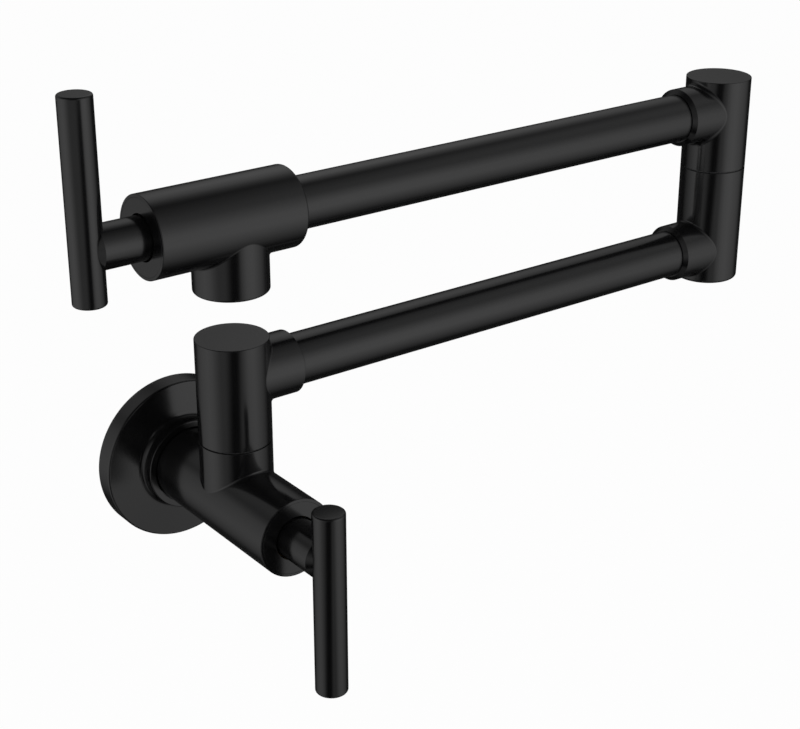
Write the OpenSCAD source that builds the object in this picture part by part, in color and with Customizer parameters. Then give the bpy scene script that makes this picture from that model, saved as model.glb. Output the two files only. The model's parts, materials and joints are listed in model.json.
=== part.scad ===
// Wall mounted folding pot filler with two quarter-turn valves.
// Origin: centre of the wall flange on the wall plane. +Y runs into the wall,
// +X runs along the folded arms and +Z points up. All lengths in millimetres.
// Valve parts are drawn about their own axis: z = 0 is the valve's front face,
// +z points out towards the handle and +x points up.

/* [Arms] */
// Outside diameter of both arm tubes
tube_d = 20; // [19:0.5:21]
// Wall thickness of the arm tubes
tube_wall = 1; // [0.8:0.1:1.5]
// Distance from the wall post's axis to the elbow's axis
arm_len = 248.4; // [180:1:300]
// Distance from the elbow's axis to the spout's axis
spout_reach = 247.6; // [180:1:300]
// Height of the lower arm's axis above the wall valve's axis
lower_arm_z = 50.2; // [48:0.5:56]
// Height of the upper arm's axis above the lower arm's axis
arm_rise = 61.1; // [58:0.5:75]

/* [Posts and collars] */
// Diameter of the wall post and of the elbow
post_d = 27.8; // [27:0.2:30]
// Distance from the wall to the wall post's axis
post_out = 49.5; // [48:0.5:56]
// Height of the wall post's swivel seam above the valve's axis
post_seam_z = 25; // [24:0.25:26]
// Height of the elbow's swivel seam above the lower arm's axis
elbow_seam_rise = 36.4; // [34:0.2:38]
// How far the wall post's head stands above the lower arm's axis
head_rise = 15.7; // [14.5:0.1:18]
// How far the elbow reaches past each arm's axis
elbow_rise = 14.7; // [14:0.1:18]
// Diameter of the collars that hold the tubes
collar_d = 24.4; // [24:0.2:26]
// Distance from a post's axis to the end of its collar
collar_len = 25.2; // [23:0.2:30]
// Length of the chamfer at a collar's end
collar_chamfer = 1.3; // [0.4:0.1:2]
// Width of the ring that a collar's chamfer leaves round its tube
collar_lip = 0.4; // [0.2:0.1:0.8]
// Radius of the rounded edge at the foot of the elbow
elbow_edge = 1.4; // [0.4:0.1:2]
// Distance from a post's axis to the end of the tube inside its collar
tube_start = 14; // [13:0.25:16]

/* [Wall flange] */
// Outside diameter of the flange
flange_d = 66; // [62:1:72]
// Depth of the flange's rim from the wall
flange_t = 8; // [7:0.25:9]
// Diameter of the hub ring round the valve body
hub_ring_d = 36.6; // [36:0.2:39]
// Distance from the wall to the front of the hub ring
hub_ring_out = 14.5; // [13.5:0.25:16]
// How far the face rises from the rim to the hub
flange_dish = 0.9; // [0.4:0.1:1.5]
// Radius of the hollow where the hub meets the face
hub_fillet = 2; // [1:0.25:2.5]
// Wall thickness of the flange shell
flange_wall = 2; // [1.5:0.1:2.5]
// Width of the foot that the flange stands on
flange_foot = 6; // [5:0.25:8]

/* [Valve bodies] */
// Outside diameter of both valve bodies
valve_d = 30.8; // [30:0.2:34]
// Distance from the wall to the wall valve's front face
wall_face_out = 89.4; // [88:0.5:96]
// Distance from the wall to the back of the wall valve's full round
wall_body_back = 13; // [12.25:0.25:13.5]
// Length of the upper tube inside the end valve body
end_socket_len = 10; // [8:0.5:14]
// Distance from the spout's axis to the end valve's front face
spout_to_face = 35.2; // [34:0.2:38]
// Outside diameter of the spout
spout_d = 28.4; // [27:0.2:30]
// Length of the spout below the end valve's axis
spout_drop = 27; // [26:0.5:34]
// Radius of the rounded edge at the end valve's back and the spout's mouth
body_edge = 1; // [0.4:0.1:1.5]
// Width of the body's rim round the front cap
rim_w = 1.2; // [1:0.1:1.5]

/* [Quarter-turn cartridge] */
// Depth of the shoulder that the cartridge's head stands on
shoulder_depth = 12; // [12:0.25:13]
// Depth of the seat under the cartridge
seat_depth = 46; // [45:0.25:47]
// Wall between the end valve's seat and the upper tube
seat_wall = 3.7; // [2.5:0.1:6]
// Diameter of the cartridge's thread
cart_thread_d = 20.9; // [20:0.1:21.5]
// Length of the cartridge's thread
cart_thread_len = 10; // [8:0.25:11]
// Diameter of the cartridge's cage
cage_d = 19.2; // [18.8:0.1:19.8]
// Wall thickness of the cage
cage_wall = 1.3; // [1.1:0.1:1.6]
// Width across the flats of the cartridge's hexagon
hex_flats = 19; // [17:0.5:20]
// Diameter of the cartridge's head flange
cart_head_d = 23; // [22.5:0.1:24]
// Diameter of the spindle in its guide
spindle_d = 10; // [9:0.25:10.5]
// Diameter of the spindle over its splines
spline_d = 8; // [7:0.25:8.5]
// Number of splines
spline_count = 20; // [16:1:24]
// Thickness of each ceramic disc
disc_t = 3.2; // [2.5:0.1:3.6]
// Height of the rubber seat seal
seal_h = 3; // [2.5:0.1:3.5]

/* [Handles] */
// Diameter of the handle bars
bar_d = 12.3; // [11:0.1:13]
// Length of a bar's long side from the valve's axis
bar_long = 54; // [45:1:65]
// Length of a bar's short side from the valve's axis
bar_short = 19.8; // [17:0.2:25]
// Distance from the valve's face to the bar's axis
bar_out = 21.1; // [20:0.25:26]
// Radius of the rounded edge at the bar's ends
bar_edge = 0.8; // [0.3:0.1:1.5]
// Diameter of the handle hubs
hub_d = 16.2; // [15.6:0.1:16.8]
// Width of the sloping shoulder at the hub's outer end
hub_shoulder = 3; // [2:0.1:3.2]
// Gap between a hub and the cap round it
hub_gap = 0.6; // [0.4:0.1:0.9]

/* [Swivels] */
// Diameter of the swivel spigots
spigot_d = 17.9; // [17:0.1:18.2]
// Diameter of the waterway through a spigot
spigot_bore_d = 11; // [9:0.5:11.5]
// Height of a spigot above its seam
spigot_rise = 15; // [14.5:0.1:15.5]
// Length of a spigot's thread below its seam
spigot_thread = 9.5; // [8.5:0.1:10]
// Thickness of the sealing ring's cord
ring_cord = 1.8; // [1.5:0.1:2]
// Thickness of the glide washer at a seam
washer_t = 0.6; // [0.4:0.1:0.8]
// How far a glide washer's rim lies inside the post's surface
washer_inset = 0.8; // [0.4:0.1:1.2]
// Diameter of the screw that holds a swivel together
lock_screw_d = 5; // [4:0.25:5]

/* [Inlet and outlet] */
// Diameter of the inlet thread, one half inch pipe thread
inlet_thread_d = 20.955; // [20.5:0.005:21.5]
// Length of the inlet thread behind the wall plane
inlet_len = 20; // [15:0.5:30]
// Diameter of the waterways
waterway_d = 13; // [11:0.5:14]
// Diameter of the outlet thread that holds the aerator
aerator_d = 24; // [23:0.1:24.4]
// Length of the aerator inside the spout
aerator_len = 8.6; // [8:0.1:9.5]
// Number of outlet holes in the aerator's outer ring
aerator_holes = 12; // [8:1:14]

/* [Hidden] */

$fn = 96;
round_steps = 6;

// Clearances and overrun
cut = 1;
fit = 0.05;
free_gap = 0.1;
ring_gap = 0.3;

// Radii
tube_r = tube_d / 2;
post_r = post_d / 2;
collar_r = collar_d / 2;
valve_r = valve_d / 2;
spout_r = spout_d / 2;
bar_r = bar_d / 2;
hub_r = hub_d / 2;
waterway_r = waterway_d / 2;
spindle_r = spindle_d / 2;
spline_r = spline_d / 2;
spigot_r = spigot_d / 2;
cord_r = ring_cord / 2;
seam_edge = 0.15;
inlet_thread_r = inlet_thread_d / 2;
aerator_r = aerator_d / 2;

// Heights and places
upper_arm_z = lower_arm_z + arm_rise;
elbow_seam_z = lower_arm_z + elbow_seam_rise;
head_top_z = lower_arm_z + head_rise;
elbow_foot_z = lower_arm_z - elbow_rise;
elbow_top_z = upper_arm_z + elbow_rise;
spout_x = arm_len - spout_reach;
end_face_x = spout_x - spout_to_face;
end_body_len = seat_depth + seat_wall + end_socket_len;
end_back_x = end_face_x + end_body_len;

// Valve internals, as depths below the front face
cap_r = valve_r - rim_w;
cap_plate = 2.4;
cap_skirt_wall = 1.6;
cap_edge = 0.3;
cap_seam_edge = 0.1;
cap_foot_gap = 0.5;
cap_hole_r = hub_r + hub_gap;
cart_head_r = cart_head_d / 2;
cart_head_t = 2;
cap_skirt_depth = shoulder_depth - cart_head_t - cap_foot_gap;
cart_thread_r = cart_thread_d / 2;
cart_thread_foot = shoulder_depth + cart_thread_len;
cage_r = cage_d / 2;
cage_in_r = cage_r - cage_wall;
chamber_relief = 0.8;
chamber_r = cart_thread_r + chamber_relief;
cage_foot_depth = seat_depth - seal_h;
disc_meet_depth = cage_foot_depth - disc_t;
disc_top_depth = disc_meet_depth - disc_t;
foot_t = 3.6;
cage_top_depth = disc_top_depth - foot_t - free_gap;
neck_wall = 1.5;
neck_len = 2;
neck_gap = 0.6;
neck_r = spindle_r + neck_wall;
neck_top_depth = cap_plate + neck_gap;
hex_depth = neck_top_depth + neck_len;
hex_flats_r = hex_flats / 2;
disc_r = cage_in_r - free_gap;
turning_disc_r = disc_r - ring_gap;
port_in_share = 0.3;
port_out_share = 0.82;
port_angle = 74;
window_angle = 100;
seal_lip = 1;
seal_inset = 0.4;
foot_inset = 1;
spline_root_share = 0.9;
spline_foot_share = 1.4;
spline_tip_share = 0.5;
spindle_pit_depth = 1.25;

// Handle internals
hub_foot_depth = 1.6;
spline_top = 8;
socket_top = spline_top + ring_gap;
nose_setback = 0.4;
screw_head_r = 3;
screw_head_t = 3;
screw_r = 2;
screw_reach = 2;
screw_tip = bar_out + screw_reach;
grub_r = 2;
grub_z = 4.5;
grub_inset = 0.2;
hex_socket_share = 0.58;
screw_socket_share = 0.8;

// Flange and inlet internals
flange_r = flange_d / 2;
hub_ring_r = hub_ring_d / 2;
hub_ring_edge = 0.4;
flange_gap = 0.5;
hub_bore_r = valve_r + flange_gap;
neck_tube_wall = 2.8;
neck_out_r = inlet_thread_r + neck_tube_wall;
neck_foot = 4.2;
grip_out_r = neck_out_r + ring_cord;
lip_r = neck_out_r + ring_gap;
lip_setback = 2.5;
lip_t = 3.8;
lip_front = wall_body_back - lip_setback;
lip_back = lip_front - lip_t;
grip_z = (lip_front + lip_back) / 2;
rim_edge = 0.8;
gasket_t = 1.5;
gasket_margin = 1.5;
nipple_reach = 2;
nipple_inner_end = wall_body_back + nipple_reach;
nipple_hex_step = 1.8;
thread_lead = 1.5;

// Swivel internals
spigot_thread_step = 0.6;
spigot_thread_r = spigot_r + spigot_thread_step;
spigot_bore_r = spigot_bore_d / 2;
lock_screw_r = lock_screw_d / 2;
lock_top_margin = 0.8;
lock_rise = spigot_rise - lock_top_margin - lock_screw_r;
lock_groove = 0.72;
lock_tip_r = spigot_r - lock_groove;
lock_pin_r = lock_screw_r / 2;
lock_screw_inset = 0.4;
ring_mid_r = spigot_r + fit - free_gap - cord_r;
ring_lift_shares = [0.17, 0.4];

// Outlet
outlet_relief = 1;
outlet_bore_r = waterway_r + outlet_relief;
aerator_recess = 0.3;
aerator_washer_t = 1.5;
aerator_wall = 1.6;
aerator_lip = 1;
aerator_head = aerator_recess + aerator_len;
aerator_top = aerator_head + aerator_washer_t;
aerator_in_r = aerator_r - aerator_wall;
insert_plate_t = 2;
insert_foot = aerator_recess + aerator_lip;
insert_hollow_share = 0.8;
hole_share = 0.09;
outer_row_shares = [0.7, 1];
inner_row_shares = [0.4, 0.5];

function arc(cx, cy, r, a0, a1) =
    [for (i = [0 : round_steps])
        let (a = a0 + (a1 - a0) * i / round_steps) [cx + r * cos(a), cy + r * sin(a)]];

// Solid round bar with rounded edges of radius e0 at its foot and e1 at its top
module rod(r, h, e0, e1) {
    rotate_extrude()
        polygon(concat([[0, 0]],
            arc(r - e0, e0, e0, -90, 0),
            arc(r - e1, h - e1, e1, 0, 90),
            [[0, h]]));
}

// Cylinder between two heights
module span(r, z0, z1) {
    translate([0, 0, z0]) cylinder(r = r, h = z1 - z0);
}

// Ring between two heights
module ring(r_out, r_in, z0, z1) {
    difference() {
        span(r_out, z0, z1);
        span(r_in, z0 - cut, z1 + cut);
    }
}

module sealing_ring(r_mid, z) {
    translate([0, 0, z])
        rotate_extrude() translate([r_mid, 0]) circle(r = cord_r, $fn = 32);
}

// Hexagon socket in the end of a screw
module hex_socket(screw_radius, z) {
    translate([0, 0, z]) cylinder(r = screw_radius * hex_socket_share, h = screw_radius + cut, $fn = 6);
}

// Places drawing at the wall valve's face, with +z out of the face and +x up
module at_wall_valve() {
    translate([0, -wall_face_out, 0]) rotate([90, 0, 0]) rotate([0, 0, 90]) children();
}

// Places drawing at the end valve's face
module at_end_valve() {
    translate([end_face_x, -post_out, upper_arm_z]) rotate([0, -90, 0]) children();
}

module at_post() {
    translate([0, -post_out, 0]) children();
}

module at_elbow() {
    translate([arm_len, -post_out, 0]) children();
}

module at_spout() {
    translate([spout_x, -post_out, upper_arm_z - spout_drop]) children();
}

// Lays a shape drawn along +z on the arm direction: 1 is +X and -1 is -X
module along_arm(toward) {
    rotate([0, 90 * toward, 0]) children();
}

// Valve body cavity, drawn at the valve's face
module valve_cavity() {
    span(cap_r + fit, -shoulder_depth, cut);
    span(cart_thread_r + fit, -cart_thread_foot, -shoulder_depth + cut);
    span(chamber_r, -seat_depth, -cart_thread_foot + fit);
    span(waterway_r, -seat_depth - cut, -seat_depth + fit);
}

// Cap that closes the body's front and leaves a ring of air round the hub
module valve_cap() {
    color("dimgray")
        difference() {
            translate([0, 0, -cap_skirt_depth]) rod(cap_r, cap_skirt_depth, cap_edge, cap_seam_edge);
            span(cap_r - cap_skirt_wall, -cap_skirt_depth - cut, -cap_plate);
            span(cap_hole_r, -cap_skirt_depth - cut, cut);
        }
}

module cage_windows() {
    for (side = [0, 180])
        rotate([0, 0, side - window_angle / 2])
            translate([0, 0, -disc_meet_depth])
                rotate_extrude(angle = window_angle)
                    translate([cage_in_r - cut, 0])
                        square([cage_wall + 2 * cut, disc_meet_depth - cage_top_depth]);
}

// Cartridge: head, hexagon, neck, thread and a cage with two windows
module cartridge_body() {
    color("goldenrod")
        difference() {
            union() {
                span(cart_head_r, -shoulder_depth, -shoulder_depth + cart_head_t);
                translate([0, 0, -shoulder_depth + cart_head_t])
                    cylinder(r = hex_flats_r / cos(30),
                    h = shoulder_depth - cart_head_t - hex_depth, $fn = 6);
                span(neck_r, -hex_depth, -neck_top_depth);
                span(cart_thread_r, -cart_thread_foot, -shoulder_depth);
                span(cage_r, -cage_foot_depth, -cart_thread_foot);
            }
            span(cage_in_r, -cage_foot_depth - cut, -cage_top_depth);
            span(spindle_r + fit, -cage_top_depth - cut, cut);
            cage_windows();
        }
}

module seat_seal() {
    color("black") ring(cage_r - seal_inset, waterway_r - seal_lip, -seat_depth, -cage_foot_depth);
}

// Two opposite sectors, from an inner to an outer radius, cut through a disc
module disc_ports(r_in, r_out, z0, z1) {
    for (side = [0, 180])
        rotate([0, 0, side - port_angle / 2])
            translate([0, 0, z0 - cut])
                rotate_extrude(angle = port_angle)
                    translate([r_in, 0]) square([r_out - r_in, z1 - z0 + 2 * cut]);
}

module fixed_disc() {
    color("white")
        difference() {
            span(disc_r, -cage_foot_depth, -disc_meet_depth);
            rotate([0, 0, 90])
                disc_ports(disc_r * port_in_share, disc_r * port_out_share,
                    -cage_foot_depth, -disc_meet_depth);
        }
}

// Turning disc, open to the sides, so that water leaves through the cage's windows
module turning_disc() {
    color("white")
        difference() {
            span(turning_disc_r, -disc_meet_depth, -disc_top_depth);
            disc_ports(disc_r * port_in_share, disc_r + cut, -disc_meet_depth, -disc_top_depth);
        }
}

// Outline of a splined shaft, grown by a clearance
module spline_outline(grow) {
    root_r = spline_r * spline_root_share + grow;
    tip_r = spline_r + grow;
    quarter_pitch = 90 / spline_count;
    polygon([for (i = [0 : spline_count - 1], side = [-1, 1], level = [0, 1])
        let (on_tip = (level == 0) != (side < 0),
            r = on_tip ? tip_r : root_r,
            share = on_tip ? spline_tip_share : spline_foot_share,
            a = 360 * i / spline_count + side * quarter_pitch * share)
        [r * cos(a), r * sin(a)]]);
}

// Spindle with a foot for the turning disc, a groove for its ring and a splined end
module spindle() {
    color("goldenrod")
        difference() {
            union() {
                span(disc_r - ring_gap - foot_inset, -disc_top_depth, -disc_top_depth + foot_t);
                span(spindle_r, -disc_top_depth, -neck_top_depth);
                translate([0, 0, -neck_top_depth])
                    linear_extrude(spline_top + neck_top_depth) spline_outline(0);
            }
            ring(spindle_r + cut, spindle_r - ring_cord, -shoulder_depth - cord_r, -shoulder_depth + cord_r);
            span(screw_r, spline_top - spindle_pit_depth, spline_top + cut);
        }
}

module spindle_ring() {
    color("black") sealing_ring(spindle_r - cord_r, -shoulder_depth);
}

// Handle hub with a splined socket, a saddle for the bar and two screw holes
module handle_hub() {
    nose = bar_out - nose_setback;
    color("dimgray")
        difference() {
            union() {
                span(hub_r, -hub_foot_depth, nose - hub_shoulder);
                translate([0, 0, nose - hub_shoulder])
                    cylinder(r1 = hub_r, r2 = hub_r - hub_shoulder, h = hub_shoulder);
            }
            translate([0, 0, -hub_foot_depth - cut])
                linear_extrude(socket_top + hub_foot_depth + cut) spline_outline(fit);
            span(screw_head_r + fit, socket_top - cut, socket_top + screw_head_t);
            span(screw_r + fit, socket_top, bar_out);
            translate([0, 0, bar_out]) rotate([0, 90, 0]) cylinder(r = bar_r + fit, h = hub_d, center = true);
            translate([0, 0, grub_z]) rotate([0, -90, 0]) cylinder(r = grub_r + fit, h = hub_d);
        }
}

// Handle bar: its long side points up when side is 1 and down when it is -1
module handle_bar(side) {
    color("dimgray")
        rotate([0, 0, side > 0 ? 0 : 180])
            difference() {
                translate([-bar_short, 0, bar_out])
                    rotate([0, 90, 0]) rod(bar_r, bar_short + bar_long, bar_edge, bar_edge);
                span(screw_r + fit, bar_out - bar_r - cut, screw_tip + fit);
            }
}

// Screw that holds the bar in its hub, put in through the splined socket
module bar_screw() {
    color("silver")
        difference() {
            union() {
                span(screw_head_r, socket_top + fit, socket_top + screw_head_t - fit);
                span(screw_r, socket_top + screw_head_t - cut, screw_tip);
            }
            hex_socket(screw_head_r * screw_socket_share, socket_top + fit - cut);
        }
}

// Headless screw that holds the hub on the spindle, on the hub's underside
module grub_screw() {
    color("silver")
        translate([0, 0, grub_z])
            rotate([0, -90, 0])
                difference() {
                    span(grub_r, spline_r + fit, hub_r - grub_inset);
                    hex_socket(grub_r, hub_r - grub_r);
                }
}

// Collar that holds a tube, chamfered at its end
module collar() {
    span(collar_r, 0, collar_len - collar_chamfer);
    translate([0, 0, collar_len - collar_chamfer])
        cylinder(r1 = collar_r, r2 = tube_r + collar_lip, h = collar_chamfer);
}

// Upright post between two heights, with rounded edges at its foot and its top
module post(foot, top, foot_edge, top_edge) {
    translate([0, 0, foot]) rod(post_r, top - foot, foot_edge, top_edge);
}

// Socket for the tube and the waterway that leads to it
module tube_socket(arm_z, toward) {
    translate([0, 0, arm_z])
        along_arm(toward) {
            span(tube_r + fit, tube_start, collar_len + cut);
            span(waterway_r, 0, tube_start + cut);
        }
}

// Hole that a spigot turns in, with the hole for the lock screw
module spigot_hole(seam_z) {
    span(spigot_r + fit, seam_z - cut, seam_z + spigot_rise + washer_t);
    translate([0, 0, seam_z + lock_rise]) rotate([-90, 0, 0])
        cylinder(r = lock_screw_r + fit, h = post_d);
}

// Brass spigot: thread below the seam, grooves for the sealing rings and the lock screw above
module spigot(seam_z) {
    color("goldenrod")
        difference() {
            union() {
                span(spigot_thread_r, seam_z - spigot_thread, seam_z + washer_t / 2);
                span(spigot_r, seam_z, seam_z + spigot_rise);
            }
            span(spigot_bore_r, seam_z - spigot_thread - cut, seam_z + spigot_rise + cut);
            for (share = ring_lift_shares)
                ring(spigot_r + cut, ring_mid_r - cord_r,
                    seam_z + share * spigot_rise - cord_r, seam_z + share * spigot_rise + cord_r);
            ring(spigot_r + cut, lock_tip_r - ring_gap,
                seam_z + lock_rise - lock_pin_r - free_gap, seam_z + lock_rise + lock_pin_r + free_gap);
        }
}

module spigot_rings(seam_z) {
    color("black")
        for (share = ring_lift_shares)
            sealing_ring(ring_mid_r, seam_z + share * spigot_rise);
}

module glide_washer(seam_z) {
    color("black")
        ring(post_r - washer_inset, spigot_thread_r + free_gap, seam_z - washer_t / 2, seam_z + washer_t / 2);
}

// Socket head screw whose tip runs in the spigot's groove, on the side that faces the wall
module lock_screw(seam_z) {
    screw_top = post_r - lock_screw_inset;
    color("silver")
        translate([0, 0, seam_z + lock_rise])
            rotate([-90, 0, 0])
                difference() {
                    union() {
                        span(lock_screw_r, spigot_r + free_gap, screw_top);
                        span(lock_pin_r, lock_tip_r, spigot_r + cut);
                    }
                    hex_socket(lock_screw_r, screw_top - lock_screw_r);
                }
}

module wall_flange() {
    face_out = flange_t + flange_dish;
    color("dimgray")
        rotate([90, 0, 0])
            rotate_extrude()
                polygon(concat(
                    [[flange_r - flange_foot, 0]],
                    [[flange_r - flange_foot + gasket_margin, 0]],
                    [[flange_r - flange_foot + gasket_margin, gasket_t]],
                    [[flange_r - gasket_margin, gasket_t]],
                    [[flange_r - gasket_margin, 0]],
                    [[flange_r, 0]],
                    arc(flange_r - rim_edge, flange_t - rim_edge, rim_edge, 0, 90),
                    arc(hub_ring_r + hub_fillet, face_out + hub_fillet, hub_fillet, -90, -180),
                    arc(hub_ring_r - hub_ring_edge, hub_ring_out - hub_ring_edge, hub_ring_edge, 0, 90),
                    [[hub_bore_r, hub_ring_out]],
                    [[hub_bore_r, lip_front]],
                    [[lip_r, lip_front]],
                    [[lip_r, grip_z + cord_r]],
                    [[grip_out_r, grip_z + cord_r]],
                    [[grip_out_r, grip_z - cord_r]],
                    [[lip_r, grip_z - cord_r]],
                    [[lip_r, lip_back]],
                    [[hub_ring_r, lip_back]],
                    [[hub_ring_r + flange_wall, face_out - flange_wall]],
                    [[flange_r - flange_foot, flange_t - flange_wall]]));
}

module wall_gasket() {
    color("black")
        rotate([90, 0, 0])
            ring(flange_r - gasket_margin - fit, flange_r - flange_foot + gasket_margin + fit, 0, gasket_t);
}

module flange_grip_ring() {
    color("black")
        rotate([90, 0, 0]) sealing_ring(neck_out_r + cord_r, grip_z);
}

// Nipple that screws into the body and, through the wall, into the supply
module inlet_nipple() {
    lead_z = inlet_len - thread_lead;
    color("goldenrod")
        rotate([-90, 0, 0])
            difference() {
                union() {
                    span(inlet_thread_r, -nipple_inner_end, -neck_foot + cut);
                    translate([0, 0, -neck_foot])
                        cylinder(r = inlet_thread_r + nipple_hex_step, h = neck_foot, $fn = 6);
                    span(inlet_thread_r, 0, lead_z);
                    translate([0, 0, lead_z])
                        cylinder(r1 = inlet_thread_r, r2 = inlet_thread_r - thread_lead, h = thread_lead);
                }
                span(waterway_r, -nipple_inner_end - cut, inlet_len + cut);
            }
}

module wall_valve_body() {
    color("dimgray")
        difference() {
            union() {
                rotate([90, 0, 0])
                    translate([0, 0, wall_body_back])
                        rod(valve_r, wall_face_out - wall_body_back, seam_edge, cap_edge);
                rotate([90, 0, 0]) span(neck_out_r, neck_foot, wall_body_back + cut);
                at_post() rod(post_r, post_seam_z - washer_t / 2, seam_edge, seam_edge);
            }
            at_wall_valve() valve_cavity();
            rotate([90, 0, 0]) span(waterway_r, neck_foot - cut, wall_face_out - seat_depth + fit);
            rotate([90, 0, 0]) span(inlet_thread_r + fit, neck_foot - cut, nipple_inner_end + fit);
            at_post() span(waterway_r, 0, post_seam_z + cut);
            at_post() span(spigot_thread_r + fit, post_seam_z - spigot_thread - fit, post_seam_z + cut);
        }
}

module lower_arm_head() {
    color("dimgray")
        at_post()
            difference() {
                union() {
                    post(post_seam_z + washer_t / 2, head_top_z, seam_edge, cap_edge);
                    translate([0, 0, lower_arm_z]) along_arm(1) collar();
                }
                tube_socket(lower_arm_z, 1);
                spigot_hole(post_seam_z);
                span(waterway_r, post_seam_z, lower_arm_z);
            }
}

module elbow_lower_half() {
    color("dimgray")
        at_elbow()
            difference() {
                union() {
                    post(elbow_foot_z, elbow_seam_z - washer_t / 2, elbow_edge, seam_edge);
                    translate([0, 0, lower_arm_z]) along_arm(-1) collar();
                }
                tube_socket(lower_arm_z, -1);
                span(waterway_r, lower_arm_z, elbow_seam_z + cut);
                span(spigot_thread_r + fit, elbow_seam_z - spigot_thread - fit, elbow_seam_z + cut);
            }
}

module elbow_upper_half() {
    color("dimgray")
        at_elbow()
            difference() {
                union() {
                    post(elbow_seam_z + washer_t / 2, elbow_top_z, seam_edge, cap_edge);
                    translate([0, 0, upper_arm_z]) along_arm(-1) collar();
                }
                tube_socket(upper_arm_z, -1);
                spigot_hole(elbow_seam_z);
                span(waterway_r, elbow_seam_z, upper_arm_z);
            }
}

// Arm tube between two places along X, at a height
module arm_tube(x0, x1, z) {
    color("dimgray")
        translate([0, -post_out, z]) along_arm(1) ring(tube_r, tube_r - tube_wall, x0, x1);
}

module end_valve_body() {
    color("dimgray")
        difference() {
            union() {
                at_end_valve()
                    translate([0, 0, -end_body_len]) rod(valve_r, end_body_len, body_edge, cap_edge);
                at_spout() rod(spout_r, spout_drop, body_edge, seam_edge);
            }
            at_end_valve() valve_cavity();
            at_end_valve() span(waterway_r, -end_body_len, -seat_depth);
            at_end_valve() span(tube_r + fit, -end_body_len - cut, -end_body_len + end_socket_len);
            at_spout() span(outlet_bore_r, 0, spout_drop);
            at_spout() span(aerator_r + fit, -cut, aerator_top);
        }
}

module aerator_washer() {
    color("black") at_spout() ring(aerator_r - free_gap, outlet_bore_r, aerator_head, aerator_top);
}

module aerator_housing() {
    color("dimgray")
        at_spout()
            difference() {
                translate([0, 0, aerator_recess]) rod(aerator_r, aerator_len, cap_edge, cap_edge);
                span(aerator_in_r, insert_foot, aerator_top);
                span(aerator_in_r - aerator_lip, 0, aerator_top);
            }
}

// Ring of outlet holes: its radius and its count follow two shares
module outlet_row(row_shares) {
    count = aerator_holes * row_shares[1];
    for (i = [0 : count - 1])
        rotate([0, 0, 360 * i / count])
            translate([aerator_in_r * row_shares[0], 0, insert_foot - cut])
                cylinder(r = aerator_in_r * hole_share, h = aerator_len, $fn = 24);
}

// Insert with rings of outlet holes under a hollow that mixes in air
module aerator_insert() {
    color("gray")
        at_spout()
            difference() {
                span(aerator_in_r - fit, insert_foot, aerator_head);
                span(aerator_in_r * insert_hollow_share, insert_foot + insert_plate_t,
                    aerator_head - insert_plate_t);
                outlet_row(outer_row_shares);
                outlet_row(inner_row_shares);
                span(aerator_in_r * hole_share, insert_foot - cut, aerator_head + cut);
            }
}

wall_flange();
wall_gasket();
flange_grip_ring();
inlet_nipple();
wall_valve_body();
at_wall_valve() valve_cap();  // wall_valve_cap
at_wall_valve() cartridge_body();  // wall_cartridge
at_wall_valve() seat_seal();  // wall_seat_seal
at_wall_valve() fixed_disc();  // wall_fixed_disc
at_wall_valve() turning_disc();  // wall_turning_disc
at_wall_valve() spindle();  // wall_spindle
at_wall_valve() spindle_ring();  // wall_spindle_ring
at_wall_valve() handle_hub();  // wall_handle_hub
at_wall_valve() handle_bar(-1);  // wall_handle_bar
at_wall_valve() bar_screw();  // wall_bar_screw
at_wall_valve() grub_screw();  // wall_grub_screw
at_post() spigot(post_seam_z);  // post_spigot
at_post() spigot_rings(post_seam_z);  // post_sealing_rings
at_post() glide_washer(post_seam_z);  // post_glide_washer
lower_arm_head();
at_post() lock_screw(post_seam_z);  // post_lock_screw
arm_tube(tube_start, arm_len - tube_start, lower_arm_z);  // lower_tube
elbow_lower_half();
at_elbow() spigot(elbow_seam_z);  // elbow_spigot
at_elbow() spigot_rings(elbow_seam_z);  // elbow_sealing_rings
at_elbow() glide_washer(elbow_seam_z);  // elbow_glide_washer
elbow_upper_half();
at_elbow() lock_screw(elbow_seam_z);  // elbow_lock_screw
arm_tube(end_back_x - end_socket_len, arm_len - tube_start, upper_arm_z);  // upper_tube
end_valve_body();
at_end_valve() valve_cap();  // end_valve_cap
at_end_valve() cartridge_body();  // end_cartridge
at_end_valve() seat_seal();  // end_seat_seal
at_end_valve() fixed_disc();  // end_fixed_disc
at_end_valve() turning_disc();  // end_turning_disc
at_end_valve() spindle();  // end_spindle
at_end_valve() spindle_ring();  // end_spindle_ring
at_end_valve() handle_hub();  // end_handle_hub
at_end_valve() handle_bar(1);  // end_handle_bar
at_end_valve() bar_screw();  // end_bar_screw
at_end_valve() grub_screw();  // end_grub_screw
aerator_washer();
aerator_housing();
aerator_insert();
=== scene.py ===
"""Looks of a wall mounted pot filler in satin black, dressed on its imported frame.

Everything is in metres in the frame's own axes: +Y runs into the wall along the inlet thread,
+X along the folded arms and +Z up. The origin is the centre of the flange's back.
"""

import json
import logging
import math
from dataclasses import dataclass
from enum import Enum

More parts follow.
